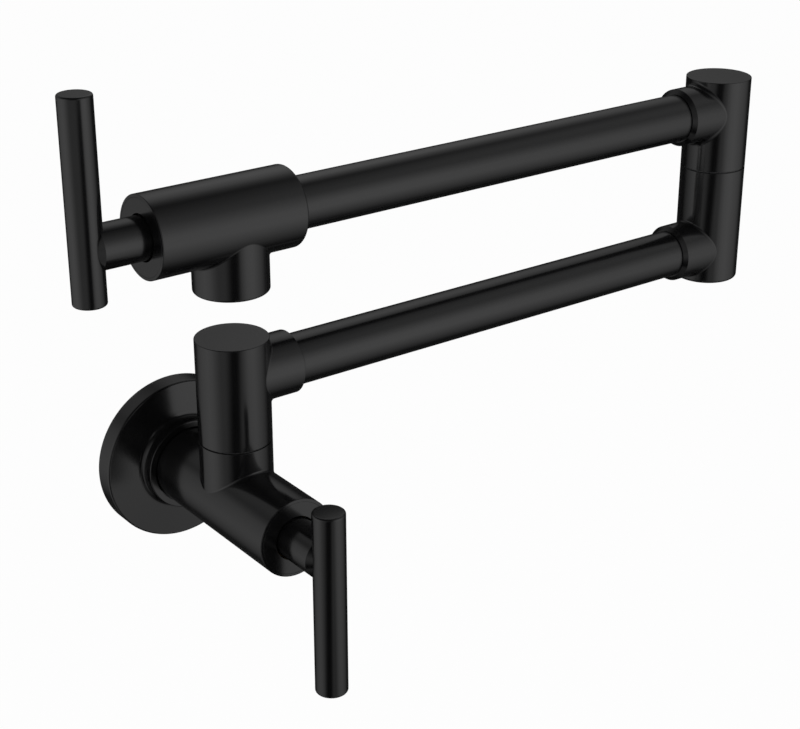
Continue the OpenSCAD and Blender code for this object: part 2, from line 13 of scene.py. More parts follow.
import bmesh
import bpy
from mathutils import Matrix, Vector


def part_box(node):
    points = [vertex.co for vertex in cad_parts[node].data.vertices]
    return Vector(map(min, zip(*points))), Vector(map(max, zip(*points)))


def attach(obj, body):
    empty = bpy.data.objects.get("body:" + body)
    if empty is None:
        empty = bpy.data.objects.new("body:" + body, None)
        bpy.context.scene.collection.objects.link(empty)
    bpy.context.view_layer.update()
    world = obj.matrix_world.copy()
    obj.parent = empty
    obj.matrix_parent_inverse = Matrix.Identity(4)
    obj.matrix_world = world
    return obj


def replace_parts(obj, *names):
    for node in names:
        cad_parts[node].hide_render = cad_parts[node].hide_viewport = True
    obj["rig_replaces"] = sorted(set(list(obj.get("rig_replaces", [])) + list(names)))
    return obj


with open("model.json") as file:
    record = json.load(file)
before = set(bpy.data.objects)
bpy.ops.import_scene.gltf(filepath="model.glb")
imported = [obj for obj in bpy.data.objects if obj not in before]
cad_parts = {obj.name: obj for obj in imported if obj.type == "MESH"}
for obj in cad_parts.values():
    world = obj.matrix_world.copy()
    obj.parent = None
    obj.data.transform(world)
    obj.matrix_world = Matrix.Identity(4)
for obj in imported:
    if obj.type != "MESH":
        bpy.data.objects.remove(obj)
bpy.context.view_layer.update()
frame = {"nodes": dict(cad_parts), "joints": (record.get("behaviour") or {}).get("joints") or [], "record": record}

logging.basicConfig(level=logging.INFO, format="%(message)s")
log = logging.getLogger("pot_filler")

MM = 0.001
WHITE = (1.0, 1.0, 1.0, 1.0)
BLACK = (0.0, 0.0, 0.0, 1.0)
QUARTER_TURN = math.pi / 2
FULL_TURN = 2 * math.pi
POST_R = 13.9 * MM
VALVE_R = 15.4 * MM
COLLAR_R = 12.2 * MM


class Slot(Enum):
    """The record's material slots."""

    SATIN_BLACK = "satin_black"
    RAW_BRASS = "raw_brass"
    VALVE_CERAMIC = "valve_ceramic"
    SEAL_RUBBER = "seal_rubber"
    SCREW_STEEL = "screw_steel"
    AERATOR_PLASTIC = "aerator_plastic"
    GLIDE_PTFE = "glide_ptfe"


class Body(Enum):
    """The bodies that move on their own."""

    ROOT = "root"
    LOWER_ARM = "lower_arm"
    UPPER_ARM = "upper_arm"


class Side(Enum):
    """The two valves, as the names of their nodes start."""

    WALL = "wall"
    END = "end"


class Axis(Enum):
    """The frame's axes, by their place in a point."""

    X = 0
    Y = 1
    Z = 2

    def unit(self) -> Vector:
        """Returns the axis as a vector of length 1."""
        return Vector([1.0 if place == self.value else 0.0 for place in range(3)])


class NodeGraph:
    """A short way to build a node tree.

    Attributes:
        NOISE_SPAN: How low and how high a noise reaches.
        TONE_SPAN: Between which of its heights a colour changes.
        LAYER_FADE: How strong each finer layer of a noise is beside the one before.
        VECTOR_RANGE: Places of From Min, From Max, To Min and To Max on a Map Range node for vectors.
    """

    NOISE_SPAN = (0.25, 0.75)
    TONE_SPAN = (0.3, 0.7)
    LAYER_FADE = 0.55
    VECTOR_RANGE = (7, 8, 9, 10)

    def __init__(self, tree: bpy.types.NodeTree) -> None:
        """Starts from an empty tree.

        Args:
            tree: The tree that is built.
        """
        self.tree = tree
        self.tree.nodes.clear()

    @classmethod
    def of_material(cls, material: bpy.types.Material) -> "NodeGraph":
        """Returns the empty graph of a material."""
        material.use_nodes = True
        return cls(material.node_tree)

    def add(self, kind: str, **settings: object) -> bpy.types.Node:
        """Adds a node.

        Args:
            kind: The node's type name.
            **settings: Properties set on the node.

        Returns:
            The new node.
        """
        node = self.tree.nodes.new(kind)
        for name, value in settings.items():
            setattr(node, name, value)
        return node

    def fill(self, target: bpy.types.NodeSocket, term: object) -> None:
        """Feeds one input.

        Args:
            target: The input.
            term: A socket to link it to, or a plain value.
        """
        if isinstance(term, bpy.types.NodeSocket):
            self.tree.links.new(term, target)
        else:
            target.default_value = term

    def feed(self, node: bpy.types.Node, **terms: object) -> bpy.types.Node:
        """Feeds a node's inputs by name, with underscores for spaces.

        Args:
            node: The node.
            **terms: A socket or a plain value for each input.

        Returns:
            The same node.
        """
        for name, term in terms.items():
            self.fill(node.inputs[name.replace("_", " ")], term)
        return node

    def wired(self, kind: str, *terms: object, **settings: object) -> bpy.types.Node:
        """Adds a node and feeds its inputs in order.

        Args:
            kind: The node's type name.
            *terms: A socket or a plain value for each input.
            **settings: Properties set on the node.

        Returns:
            The new node.
        """
        node = self.add(kind, **settings)
        for term, target in zip(terms, node.inputs):
            self.fill(target, term)
        return node

    def show(self, shader: bpy.types.NodeSocket) -> None:
        """Makes a shader the material's surface."""
        self.feed(self.add("ShaderNodeOutputMaterial"), Surface=shader)

    def noise(self, place: bpy.types.NodeSocket, size: float, detail: float) -> bpy.types.NodeSocket:
        """Adds a noise of a real size.

        Args:
            place: The coordinates that it lies in.
            size: Width of its patches, in metres.
            detail: How many finer layers it has.

        Returns:
            Its height, mostly within NOISE_SPAN.
        """
        texture = self.feed(self.add("ShaderNodeTexNoise"), Vector=place, Scale=1 / size, Detail=detail,
                            Roughness=self.LAYER_FADE)
        return texture.outputs["Fac"]

    def spread(self, height: bpy.types.NodeSocket, low: float, high: float) -> bpy.types.NodeSocket:
        """Stretches a noise between two numbers.

        Args:
            height: The noise.
            low: What its hollows give.
            high: What its crests give.

        Returns:
            The number's socket.
        """
        least, most = self.NOISE_SPAN
        ranged = self.feed(self.add("ShaderNodeMapRange"), Value=height, From_Min=least, From_Max=most,
                           To_Min=low, To_Max=high)
        return ranged.outputs["Result"]

    def tone(self, height: bpy.types.NodeSocket, dark: tuple, light: tuple) -> bpy.types.NodeSocket:
        """Turns a noise into a colour between two.

        Args:
            height: The noise.
            dark: Colour in its hollows, linear.
            light: Colour on its crests, linear.

        Returns:
            The colour's socket.
        """
        ranged = self.add("ShaderNodeMapRange", data_type="FLOAT_VECTOR")
        least, most = self.TONE_SPAN
        for place, value in zip(self.VECTOR_RANGE, ((least,) * 3, (most,) * 3, dark, light)):
            ranged.inputs[place].default_value = value
        return self.feed(ranged, Vector=height).outputs["Vector"]


@dataclass(frozen=True)
class Lathe:
    """The line that a piece was turned about.

    Attributes:
        axis: The line's direction.
        through: A point on it, in metres.
    """

    axis: Axis = Axis.Z
    through: tuple = (0.0, 0.0, 0.0)

    @classmethod
    def along(cls, axis: Axis, point: Vector) -> "Lathe":
        """Makes the line along an axis through a point.

        Args:
            axis: The line's direction.
            point: Any point on it.

        Returns:
            The line, held where its coordinate along the axis is 0.
        """
        return cls(axis, tuple(point - axis.unit() * point[axis.value]))

    def rings(self, g: NodeGraph, place: bpy.types.NodeSocket) -> bpy.types.NodeSocket:
        """Adds coordinates in which a noise becomes the fine rings of a turned surface.

        Args:
            g: The graph that gets the nodes.
            place: Where the surface's point is.

        Returns:
            The distance from the line and the place along it.
        """
        along = self.axis.unit()
        moved = g.wired("ShaderNodeVectorMath", place, self.through, operation="SUBTRACT")
        centred = moved.outputs["Vector"]
        flat = g.wired("ShaderNodeVectorMath", centred, Vector((1, 1, 1)) - along, operation="MULTIPLY")
        reach = g.wired("ShaderNodeVectorMath", flat.outputs["Vector"], operation="LENGTH")
        run = g.wired("ShaderNodeVectorMath", centred, along, operation="DOT_PRODUCT")
        rings = g.wired("ShaderNodeCombineXYZ", reach.outputs["Value"], run.outputs["Value"])
        return rings.outputs["Vector"]


INLET_LINE = Lathe(Axis.Y)


@dataclass(frozen=True)
class Relief:
    """One scale of a surface's own unevenness.

    Attributes:
        size: Width of its bumps or marks, in metres.
        depth: Their height, in metres.
        turned: Whether they run round the piece, as a lathe leaves them.
    """

    size: float
    depth: float
    turned: bool = False


@dataclass(frozen=True)
class Finish:
    """A surface whose colour and roughness wander and which has relief of its own.

    Attributes:
        title: The material's name.
        dark: Its darkest colour, linear.
        light: Its lightest colour, linear.
        tone_size: Width of the patches of colour, in metres.
        smooth: Its lowest roughness.
        rough: Its highest roughness.
        rough_size: Width of the patches of roughness, in metres.
        reliefs: Its relief, from coarse to fine.
        metallic: 1 for bare metal.
        ior: Index of refraction.
        layers: How many finer layers its colour and its relief have.
        rough_layers: How many its roughness has.
    """

    title: str
    dark: tuple
    light: tuple
    tone_size: float
    smooth: float
    rough: float
    rough_size: float
    reliefs: tuple
    metallic: float = 0.0
    ior: float = 1.5
    layers: float = 2.0
    rough_layers: float = 3.0

    def is_turned(self) -> bool:
        """Tells whether any relief runs round the piece."""
        return any(relief.turned for relief in self.reliefs)

    def build(self, line: Lathe) -> bpy.types.Material:
        """Makes the finish for pieces turned about one line.

        Args:
            line: The line.

        Returns:
            The material.
        """
        material = bpy.data.materials.new(self.title)
        g = NodeGraph.of_material(material)
        place = g.add("ShaderNodeTexCoord").outputs["Object"]
        colour = g.tone(g.noise(place, self.tone_size, self.layers), self.dark, self.light)
        roughness = g.spread(g.noise(place, self.rough_size, self.rough_layers), self.smooth, self.rough)
        rings = line.rings(g, place) if self.is_turned() else None
        shape = None
        for relief in self.reliefs:
            height = g.noise(rings if relief.turned else place, relief.size, self.layers)
            bump = g.feed(g.add("ShaderNodeBump"), Strength=1.0, Distance=relief.depth, Height=height)
            if shape is not None:
                g.feed(bump, Normal=shape)
            shape = bump.outputs["Normal"]
        shader = g.feed(g.add("ShaderNodeBsdfPrincipled"), Base_Color=colour, Roughness=roughness,
                        Metallic=self.metallic, IOR=self.ior, Normal=shape)
        g.show(shader.outputs["BSDF"])
        return material


@dataclass(frozen=True)
class SatinBlack(Finish):
    """A baked satin black coat: near black, softly mirror-like, with a faint orange peel."""

    title: str = "satin_black_coat"
    dark: tuple = (0.0029, 0.0029, 0.0031)
    light: tuple = (0.0041, 0.0041, 0.0043)
    tone_size: float = 0.35 * MM
    smooth: float = 0.14
    rough: float = 0.18
    rough_size: float = 14 * MM
    reliefs: tuple = (Relief(1.6 * MM, 0.003 * MM), Relief(0.35 * MM, 0.0006 * MM))


@dataclass(frozen=True)
class TurnedBrass(Finish):
    """Bare brass as it comes off the lathe, with fine rings and a touch of tarnish."""

    title: str = "turned_brass"
    dark: tuple = (0.50, 0.33, 0.12)
    light: tuple = (0.74, 0.55, 0.25)
    tone_size: float = 4 * MM
    smooth: float = 0.24
    rough: float = 0.38
    rough_size: float = 3 * MM
    reliefs: tuple = (Relief(0.3 * MM, 0.004 * MM, True), Relief(0.12 * MM, 0.0008 * MM))
    metallic: float = 1.0


@dataclass(frozen=True)
class ShadedBrass(TurnedBrass):
    """Brass darkened as painted shade, for the cartridges and spindles that sit in the shaded gaps behind the caps
    and hubs.
    """

    title: str = "shaded_brass"
    dark: tuple = (0.055, 0.036, 0.016)
    light: tuple = (0.16, 0.11, 0.05)
    tone_size: float = 2.5 * MM
    smooth: float = 0.42
    rough: float = 0.62


@dataclass(frozen=True)
class ValveCeramic(Finish):
    """Lapped alumina, off-white and nearly polished."""

    title: str = "lapped_ceramic"
    dark: tuple = (0.78, 0.76, 0.72)
    light: tuple = (0.88, 0.87, 0.84)
    tone_size: float = 1.2 * MM
    smooth: float = 0.12
    rough: float = 0.22
    rough_size: float = 5 * MM
    reliefs: tuple = (Relief(0.25 * MM, 0.0005 * MM),)
    ior: float = 1.76


@dataclass(frozen=True)
class SealRubber(Finish):
    """Moulded black rubber with a dusty bloom."""

    title: str = "moulded_rubber"
    dark: tuple = (0.016, 0.016, 0.016)
    light: tuple = (0.034, 0.034, 0.035)
    tone_size: float = 3 * MM
    smooth: float = 0.55
    rough: float = 0.78
    rough_size: float = 2 * MM
    reliefs: tuple = (Relief(0.9 * MM, 0.012 * MM), Relief(0.2 * MM, 0.004 * MM))


@dataclass(frozen=True)
class ScrewSteel(Finish):
    """Stainless steel of small turned screws."""

    title: str = "screw_steel"
    dark: tuple = (0.36, 0.36, 0.37)
    light: tuple = (0.55, 0.55, 0.57)
    tone_size: float = 1.5 * MM
    smooth: float = 0.22
    rough: float = 0.36
    rough_size: float = 1 * MM
    reliefs: tuple = (Relief(0.12 * MM, 0.002 * MM, True), Relief(0.1 * MM, 0.0006 * MM))
    metallic: float = 1.0


@dataclass(frozen=True)
class AeratorPlastic(Finish):
    """Grey moulded plastic with a fine spark-eroded texture."""

    title: str = "aerator_plastic"
    dark: tuple = (0.49, 0.50, 0.51)
    light: tuple = (0.58, 0.59, 0.60)
    tone_size: float = 2 * MM
    smooth: float = 0.34
    rough: float = 0.46
    rough_size: float = 2 * MM
    reliefs: tuple = (Relief(0.4 * MM, 0.006 * MM), Relief(0.12 * MM, 0.0015 * MM))


@dataclass(frozen=True)
class GraphitePtfe(Finish):
    """Waxy dark washer stock."""

    title: str = "graphite_ptfe"
    dark: tuple = (0.030, 0.030, 0.031)
    light: tuple = (0.048, 0.048, 0.049)
    tone_size: float = 1 * MM
    smooth: float = 0.42
    rough: float = 0.55
    rough_size: float = 2 * MM
    reliefs: tuple = (Relief(0.5 * MM, 0.003 * MM),)


class FinishRack:
    """Makes each finish once for each line that pieces are turned about, and hands it out.

    Attributes:
        BY_SLOT: The finish of each slot.
    """

    BY_SLOT = {
        Slot.SATIN_BLACK: SatinBlack(),
        Slot.RAW_BRASS: TurnedBrass(),
        Slot.VALVE_CERAMIC: ValveCeramic(),
        Slot.SEAL_RUBBER: SealRubber(),
        Slot.SCREW_STEEL: ScrewSteel(),
        Slot.AERATOR_PLASTIC: AeratorPlastic(),
        Slot.GLIDE_PTFE: GraphitePtfe(),
    }

    def __init__(self) -> None:
        """Starts with nothing made."""
        self.made = {}

    def take(self, finish: Finish, line: Lathe) -> bpy.types.Material:
        """Gives a finish's material.

        Args:
            finish: The finish.
            line: The line that the piece was turned about.

        Returns:
            Its material, made when first asked for.
        """
        key = (finish, line if finish.is_turned() else None)
        if key not in self.made:
            self.made[key] = finish.build(line)
        return self.made[key]


@dataclass(frozen=True)
class Camera:
    """The photograph's camera, found from the outlines of the tubes and circles.

    Attributes:
        place: Where it stands.
        yaw_deg: How far it looks to the right of +Y.
        pitch_deg: How far it looks down.
        focal_px: Focal length in pixels of the photograph.
        frame_px: The photograph's width in pixels.
        sensor_mm: Width of the sensor.
        near: The nearest that it sees.
    """

    place: tuple = (-302.151 * MM, -555.829 * MM, 308.354 * MM)
    yaw_deg: float = 36.820
    pitch_deg: float = 23.373
    focal_px: float = 1736.421
    frame_px: float = 800.0
    sensor_mm: float = 36.0
    near: float = 10 * MM

    def build(self) -> bpy.types.Object:
        """Returns the scene's camera."""
        data = bpy.data.cameras.new("camera")
        data.sensor_fit = "HORIZONTAL"
        data.sensor_width = self.sensor_mm
        data.lens = self.sensor_mm * self.focal_px / self.frame_px
        data.clip_start = self.near
        camera = placed("camera", data)
        camera.location = self.place
        camera.rotation_euler = (math.radians(90 - self.pitch_deg), 0, math.radians(-self.yaw_deg))
        bpy.context.scene.camera = camera
        return camera


def placed(name: str, data: bpy.types.ID) -> bpy.types.Object:
    """Puts a mesh, a lamp or a camera in the scene."""
    thing = bpy.data.objects.new(name, data)
    bpy.context.scene.collection.objects.link(thing)
    return thing


def ramp(value: float, stops: tuple) -> float:
    """Rises and falls in a straight line.

    Args:
        value: Where to read the ramp.
        stops: Where it leaves 0, reaches 1, leaves 1 and is back at 0.

    Returns:
        A share from 0 to 1.
    """
    foot, full, fade, end = stops
    if value < full:
        return max(0.0, (value - foot) / (full - foot))
    if value > fade:
        return max(0.0, (end - value) / (end - fade))
    return 1.0


@dataclass(frozen=True)
class SoftWindow:
    """A patch of light in the tent that fades out towards its edges.

    Attributes:
        glow: How bright its middle is.
        azimuths: Where it starts, is full, fades and ends sideways, in degrees from -Y towards +X.
        elevations: The same four stops upwards, in degrees.
    """

    glow: float
    azimuths: tuple
    elevations: tuple

    def at(self, azimuth: float, elevation: float) -> float:
        """Returns its glow in one direction, both angles in degrees."""
        nearest = max(ramp(azimuth + turn, self.azimuths) for turn in (-360, 0, 360))
        return self.glow * nearest * ramp(elevation, self.elevations)


@dataclass(frozen=True)
class LightTent:
    """A round tent whose soft windows shape what the gloss mirrors, unseen by the camera.

    Attributes:
        radius: Its radius in metres.
        step_deg: Spacing of its mesh.
        gloom: How bright it is between the windows.
        windows: Its windows.
    """

    radius: float = 1.3
    step_deg: int = 5
    gloom: float = 0.022
    windows: tuple = (
        SoftWindow(1.15, (-25, 12, 32, 89), (-73, -15, 6, 62)),
        SoftWindow(0.93, (-166, -110, -95, -45), (-76, -18, 10, 40)),
        SoftWindow(0.45, (-120, -80, -12, 10), (-75, -22, -5, 20)),
        SoftWindow(0.42, (0, 25, 68, 120), (10, 35, 45, 80)),
        SoftWindow(0.60, (80, 135, 150, 185), (5.5, 41, 55, 85)),
        SoftWindow(0.30, (-200, -165, -150, -120), (5, 25, 40, 75)),
    )

    def build(self, centre: tuple) -> bpy.types.Object:
        """Puts up the tent.

        Args:
            centre: The middle of the object.

        Returns:
            The tent.
        """
        columns, rows = 360 // self.step_deg, 180 // self.step_deg
        points, glows = [], []
        for j in range(rows + 1):
            elevation = -90 + j * self.step_deg
            for i in range(columns):
                azimuth = -180 + i * self.step_deg
                a, e = math.radians(azimuth), math.radians(elevation)
                out = Vector((math.sin(a) * math.cos(e), -math.cos(a) * math.cos(e), math.sin(e)))
                points.append(Vector(centre) + self.radius * out)
                glows.append(max(self.gloom, *(w.at(azimuth, elevation) for w in self.windows)))
        faces = [(j * columns + i, j * columns + (i + 1) % columns,
                  (j + 1) * columns + (i + 1) % columns, (j + 1) * columns + i)
                 for j in range(rows) for i in range(columns)]
        mesh = bpy.data.meshes.new("light_tent")
        mesh.from_pydata(points, [], faces)
        mesh.attributes.new("glow", "FLOAT", "POINT").data.foreach_set("value", glows)
        material = bpy.data.materials.new("tent_cloth")
        g = NodeGraph.of_material(material)
        glow = g.add("ShaderNodeAttribute", attribute_name="glow").outputs["Fac"]
        g.show(g.wired("ShaderNodeEmission", WHITE, glow).outputs["Emission"])
        mesh.materials.append(material)
        return only_mirrored(mesh)


@dataclass(frozen=True)
class DarkCard:
    """A black card under the camera with soft sides, which draws the dark line along round pieces.

    Attributes:
        middle: Middle of its upper edge.
        facing_deg: Azimuth that it stands in.
        stops: Where it starts, is full, fades and ends sideways, in metres.
        height: Its height.
        lean: How far its lower edge is shifted sideways.
    """

    middle: tuple = (-0.0721, -0.5524, 0.05)
    facing_deg: float = -38.5
    stops: tuple = (-0.225, -0.08, 0.08, 0.20)
    height: float = 0.535
    lean: float = -0.428

    def build(self) -> bpy.types.Object:
        """Returns the card."""
        a = math.radians(self.facing_deg)
        across = Vector((math.cos(a), math.sin(a), 0))
        down = Vector((0, 0, -self.height))
        points = [Vector(self.middle) + across * (x + share * self.lean) + down * share
                  for share in (0, 1) for x in self.stops]
        row = len(self.stops)
        mesh = bpy.data.meshes.new("dark_card")
        mesh.from_pydata(points, [], [(i, i + 1, i + 1 + row, i + row) for i in range(row - 1)])
        mesh.attributes.new("cover", "FLOAT", "POINT").data.foreach_set("value", (0, 1, 1, 0) * 2)
        material = bpy.data.materials.new("black_card")
        g = NodeGraph.of_material(material)
        cover = g.add("ShaderNodeAttribute", attribute_name="cover").outputs["Fac"]
        clear = g.add("ShaderNodeBsdfTransparent").outputs["BSDF"]
        dark = g.wired("ShaderNodeEmission", BLACK).outputs["Emission"]
        g.show(g.wired("ShaderNodeMixShader", cover, clear, dark).outputs["Shader"])
        mesh.materials.append(material)
        return only_mirrored(mesh)


def only_mirrored(mesh: bpy.types.Mesh) -> bpy.types.Object:
    """Puts a mesh in the studio that only shows in reflections.

    Args:
        mesh: The mesh.

    Returns:
        Its object, unseen by the camera and without any effect on light or shadow.
    """
    piece = placed(mesh.name, mesh)
    piece.visible_camera = False
    piece.visible_diffuse = False
    piece.visible_shadow = False
    piece.visible_transmission = False
    return piece


@dataclass
class Studio:
    """A white studio: pale floor, even light, two lamps, a light tent and a dark card.

    Attributes:
        centre: The middle of the object.
        floor_drop: How far the floor lies under the origin.
        floor_size: Half the floor's width.
        floor_white: The floor's own colour.
        floor_glow_share: Share of the floor that the camera sees as plain white; the rest keeps shadows.
        fill: Strength of the even light.
        lamp_size: Side of both lamps' square faces.
        key_place: Where the lamp on the right hangs.
        key_power: Its power, in watts.
        side_place: Where the lamp on the left hangs.
        side_power: Its power, in watts.
        tent: What the gloss mirrors.
        card: The dark card under the camera.
    """

    centre: tuple = (0.1, -0.05, 0.05)
    floor_drop: float = 1.65
    floor_size: float = 12.0
    floor_white: float = 0.9
    floor_glow_share: float = 0.96
    fill: float = 0.6
    lamp_size: float = 1.2
    key_place: tuple = (0.9, -1.1, 0.6)
    key_power: float = 12.0
    side_place: tuple = (-1.3, 0.3, 0.6)
    side_power: float = 6.0
    tent: LightTent = LightTent()
    card: DarkCard = DarkCard()

    @staticmethod
    def seen_as_background(g: NodeGraph) -> bpy.types.NodeSocket:
        """Adds the test for rays that show the background itself.

        Args:
            g: The graph that gets the nodes.

        Returns:
            A socket that is 1 for camera, glossy and transmission rays.
        """
        path = g.add("ShaderNodeLightPath").outputs
        seen = path["Is Camera Ray"]
        for ray in ("Is Glossy Ray", "Is Transmission Ray"):
            seen = g.wired("ShaderNodeMath", seen, path[ray], operation="MAXIMUM").outputs["Value"]
        return seen

    def build_floor(self) -> bpy.types.Object:
        """Returns the pale floor, mostly plain white to the camera and the gloss."""
        s, z = self.floor_size, -self.floor_drop
        mesh = bpy.data.meshes.new("floor")
        mesh.from_pydata([(-s, -s, z), (s, -s, z), (s, s, z), (-s, s, z)], [], [(0, 1, 2, 3)])
        material = bpy.data.materials.new("pale_floor")
        g = NodeGraph.of_material(material)
        matt = g.wired("ShaderNodeBsdfDiffuse", (self.floor_white,) * 3 + (1,)).outputs["BSDF"]
        glow = g.wired("ShaderNodeEmission", WHITE, 1.0).outputs["Emission"]
        share = g.feed(g.add("ShaderNodeMapRange"), Value=self.seen_as_background(g),
                       To_Max=self.floor_glow_share)
        g.show(g.wired("ShaderNodeMixShader", share.outputs["Result"], matt, glow).outputs["Shader"])
        mesh.materials.append(material)
        return placed("floor", mesh)

    def build_world(self) -> None:
        """Lights the room evenly, plain white where the camera and the gloss look past the floor."""
        world = bpy.data.worlds.new("room")
        bpy.context.scene.world = world
        world.use_nodes = True
        g = NodeGraph(world.node_tree)
        strength = g.feed(g.add("ShaderNodeMapRange"), Value=self.seen_as_background(g), To_Min=self.fill,
                          To_Max=1.0)
        light = g.wired("ShaderNodeBackground", WHITE, strength.outputs["Result"])
        g.feed(g.add("ShaderNodeOutputWorld"), Surface=light.outputs["Background"])

    def build_lamp(self, name: str, place: tuple, power: float) -> bpy.types.Object:
        """Hangs one soft lamp, aimed at the object.

        Args:
            name: The lamp's name.
            place: Where it hangs.
            power: Its power in watts.

        Returns:
            The lamp.
        """
        data = bpy.data.lights.new(name, "AREA")
        data.shape = "SQUARE"
        data.size = self.lamp_size
        data.energy = power
        lamp = placed(name, data)
        lamp.location = place
        lamp.rotation_euler = (Vector(self.centre) - Vector(place)).to_track_quat("-Z", "Y").to_euler()
        lamp.visible_glossy = False
        return lamp

    def build(self) -> None:
        """Builds the floor, the light, the tent and the card."""
        self.build_floor()
        self.tent.build(self.centre)
        self.card.build()
        self.build_world()
        self.build_lamp("key_lamp", self.key_place, self.key_power)
        self.build_lamp("side_lamp", self.side_place, self.side_power)
        bpy.context.scene.view_settings.view_transform = "Standard"
        log.info("studio: floor, room light, two lamps, a tent with %d windows and a card",
                 len(self.tent.windows))


def joint_place(name: str) -> Vector:
    """Returns the point that a joint of the frame turns about."""
    return Vector(next(joint["pos_m"] for joint in frame["joints"] if joint["name"] == name))


def middle_of(node: str) -> Vector:
    """Returns the middle of a node's box."""
    low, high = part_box(node)
    return (low + high) / 2


def upper_line() -> Lathe:
    """Returns the line of the upper arm and the end valve."""
    return Lathe.along(Axis.X, joint_place("end_handle_turn"))


def settle(piece: bpy.types.Object, body: Body) -> bpy.types.Object:
    """Makes a new piece part of the object.

    Args:
        piece: The piece, in place.
        body: The body that it moves with.

    Returns:
        The same piece.
    """
    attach(piece, body.value)
    return piece


def shell(name: str, points: list, faces: list, crease_deg: float) -> bpy.types.Object:
    """Makes a closed shell whose faces point outwards.

    Args:
        name: Its name.
        points: Its corners.
        faces: Its faces, by their corners.
        crease_deg: Edges sharper than this stay sharp.

    Returns:
        Its object.
    """
    mesh = bpy.data.meshes.new(name)
    mesh.from_pydata(points, [], faces)
    form = bmesh.new()
    form.from_mesh(mesh)
    bmesh.ops.recalc_face_normals(form, faces=form.faces)
    form.to_mesh(mesh)
    form.free()
    mesh.shade_smooth()
    mesh.set_sharp_from_angle(angle=math.radians(crease_deg))
    return placed(name, mesh)


def looped(rings: int, corners: int) -> list:
    """Lists the faces of a section carried round a closed loop.

    Args:
        rings: How many sections the loop has.
        corners: How many corners the closed section has.

    Returns:
        The faces, section by section.
    """
    return [(i * corners + j, (i + 1) % rings * corners + j,
             (i + 1) % rings * corners + (j + 1) % corners, i * corners + (j + 1) % corners)
            for i in range(rings) for j in range(corners)]


@dataclass(frozen=True)
class HollowBlend:
    """The hollow that blends a round branch into the round body that it stands on.

    Attributes:
        name: The ring's name.
        centre: Where the two middle lines meet, in metres.
        branch: Direction of the branch's line.
        side: 1 if the branch points along that direction, -1 against it.
        main: Direction of the body's line.
        branch_r: Radius of the branch.
        main_r: Radius of the body.
        hollow_r: Radius of the hollow.
        steps: How many sections it has.
        arc_steps: How many faces its hollow has.
        bury: How deep its hidden corner lies in both pieces.
        crease_deg: Edges sharper than this stay sharp.
    """

    name: str
    centre: tuple
    branch: Axis
    side: int
    main: Axis
    branch_r: float
    main_r: float
    hollow_r: float
    steps: int = 120
    arc_steps: int = 16
    bury: float = 0.4 * MM
    crease_deg: float = 60.0

    def section(self, turn: float) -> tuple:
        """Works out one section, seen from the branch's middle.

        Args:
            turn: Where it is round the branch, in radians from across both lines.

        Returns:
            The section's corners and their normals; the last corner is the hidden one.
        """
        c, n = math.cos(turn), math.sin(turn)
        reach, span = self.branch_r + self.hollow_r, self.main_r + self.hollow_r
        ball = Vector((reach * c, reach * n, math.sqrt(span ** 2 - (reach * c) ** 2)))
        to_branch = Vector((-c, -n, 0))
        to_main = Vector((-ball.x, 0, -ball.z)) / span
        ways = [to_branch.slerp(to_main, j / self.arc_steps) for j in range(self.arc_steps + 1)]
        inner = self.branch_r - self.bury
        hidden = Vector((inner * c, inner * n, math.sqrt(self.main_r ** 2 - (inner * c) ** 2) - self.bury))
        return [ball + self.hollow_r * way for way in ways] + [hidden], [-way for way in ways] + [Vector()]

    def build(self) -> bpy.types.Object:
        """Returns the ring, with the hollow's exact normals."""
        up, along = self.side * self.branch.unit(), self.main.unit()
        across = along.cross(up)
        corners, normals = [], []
        for i in range(self.steps):
            points, ways = self.section(FULL_TURN * i / self.steps)
            corners += [Vector(self.centre) + across * p.x + along * p.y + up * p.z for p in points]
            normals += [across * w.x + along * w.y + up * w.z for w in ways]
        count = self.arc_steps + 2
        ring = shell(self.name, corners, looped(self.steps, count), self.crease_deg)
        mesh = ring.data
        loop_normals = [Vector()] * len(mesh.loops)
        for face in mesh.polygons:
            if all(v % count <= self.arc_steps for v in face.vertices):
                for loop in face.loop_indices:
                    loop_normals[loop] = normals[mesh.loops[loop].vertex_index]
        mesh.normals_split_custom_set(loop_normals)
        return ring


